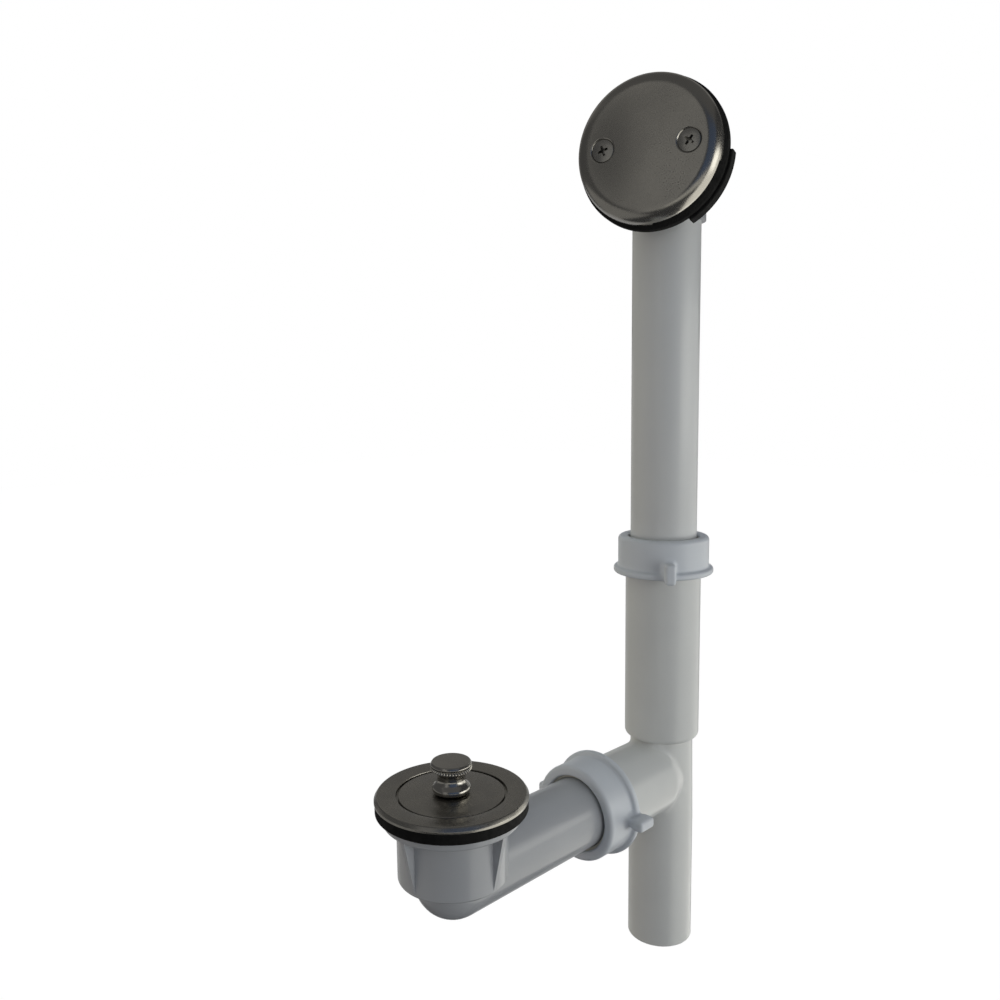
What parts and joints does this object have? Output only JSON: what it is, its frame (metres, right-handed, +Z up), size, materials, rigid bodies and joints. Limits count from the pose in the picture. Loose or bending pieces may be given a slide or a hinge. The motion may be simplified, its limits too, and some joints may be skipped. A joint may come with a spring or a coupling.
{
  "type": "bath waste and overflow",
  "caption": "Tubular bath waste and overflow with drain shoe and arm, tee, slip nuts, riser, round overflow faceplate and lift-and-turn stopper.",
  "frame": {"origin": "centre of the tub drain seat, on the drain axis, at the underside of the drain flange", "axes": "+Z up along the drain axis, +Y along the waste arm from the drain to the tee, +X completes it; the overflow faceplate looks towards -Y, turned 19 degrees towards +X"},
  "size_m": [0.0855, 0.2334, 0.4958],
  "materials": {
    "shoe_plastic": "semi-gloss off-white moulded plastic",
    "tee_plastic": "semi-gloss off-white moulded plastic",
    "riser_plastic": "semi-gloss off-white drawn tube",
    "elbow_plastic": "semi-gloss off-white moulded plastic",
    "nut_plastic": "semi-gloss bluish white moulded plastic",
    "washer_plastic": "soft translucent plastic",
    "drain_rubber": "matt black rubber",
    "gasket_foam": "matt black foam rubber",
    "seal_rubber": "matt black rubber",
    "ring_rubber": "matt black rubber",
    "strainer_nickel": "brushed nickel plate",
    "cap_nickel": "brushed nickel plate",
    "knob_nickel": "brushed nickel plate, knurled rim",
    "plate_nickel": "brushed nickel plate",
    "screw_nickel": "satin nickel plate",
    "post_brass": "machined brass",
    "insert_brass": "machined brass",
    "clip_steel": "spring steel",
    "sleeve_brass": "machined brass"
  },
  "bodies": {
    "shoe": {"waste_shoe": "shoe_plastic", "drain_washer": "drain_rubber", "drain_strainer": "strainer_nickel", "stopper_post": "post_brass", "post_friction_ring": "ring_rubber", "post_clip": "clip_steel"},
    "sleeve": {"stopper_cam_sleeve": "sleeve_brass"},
    "stopper": {"stopper_cap": "cap_nickel", "stopper_seal": "seal_rubber", "stopper_knob": "knob_nickel"},
    "side_washer": {"side_slip_washer": "washer_plastic"},
    "tee": {"tee_body": "tee_plastic"},
    "side_nut": {"side_slip_nut": "nut_plastic"},
    "upper_washer": {"upper_slip_washer": "washer_plastic"},
    "upper_nut": {"upper_slip_nut": "nut_plastic"},
    "riser": {"riser_tube": "riser_plastic", "overflow_elbow": "elbow_plastic", "elbow_insert_left": "insert_brass", "elbow_insert_right": "insert_brass", "overflow_gasket": "gasket_foam", "overflow_faceplate": "plate_nickel", "faceplate_screw_left": "screw_nickel", "faceplate_screw_right": "screw_nickel"}
  },
  "joints": [
    {"name": "stopper_turn", "type": "hinge", "parent": "shoe", "child": "sleeve", "pos_m": [0, 0, 0], "axis": [0, 0, 1], "range_deg": [0, 90]},
    {"name": "stopper_lift", "type": "slide", "parent": "sleeve", "child": "stopper", "axis": [0, 0, 1], "range_m": [0, 0.009]},
    {"name": "arm_slip", "type": "slide", "parent": "shoe", "child": "side_washer", "axis": [0, 1, 0], "range_m": [-0.008, 0.012]},
    {"name": "tee_swing", "type": "hinge", "parent": "side_washer", "child": "tee", "pos_m": [0, 0.0913, -0.0405], "axis": [0, 1, 0], "continuous": true},
    {"name": "side_nut_turn", "type": "hinge", "parent": "tee", "child": "side_nut", "pos_m": [0, 0.1068, -0.0405], "axis": [0, -1, 0], "continuous": true},
    {"name": "upper_nut_turn", "type": "hinge", "parent": "tee", "child": "upper_nut", "pos_m": [0, 0.168, 0.0818], "axis": [0, 0, 1], "continuous": true},
    {"name": "riser_turn", "type": "hinge", "parent": "tee", "child": "upper_washer", "pos_m": [0, 0.168, 0.0973], "axis": [0, 0, 1], "continuous": true},
    {"name": "riser_slip", "type": "slide", "parent": "upper_washer", "child": "riser", "axis": [0, 0, 1], "range_m": [-0.07, 0.018]}
  ]
}
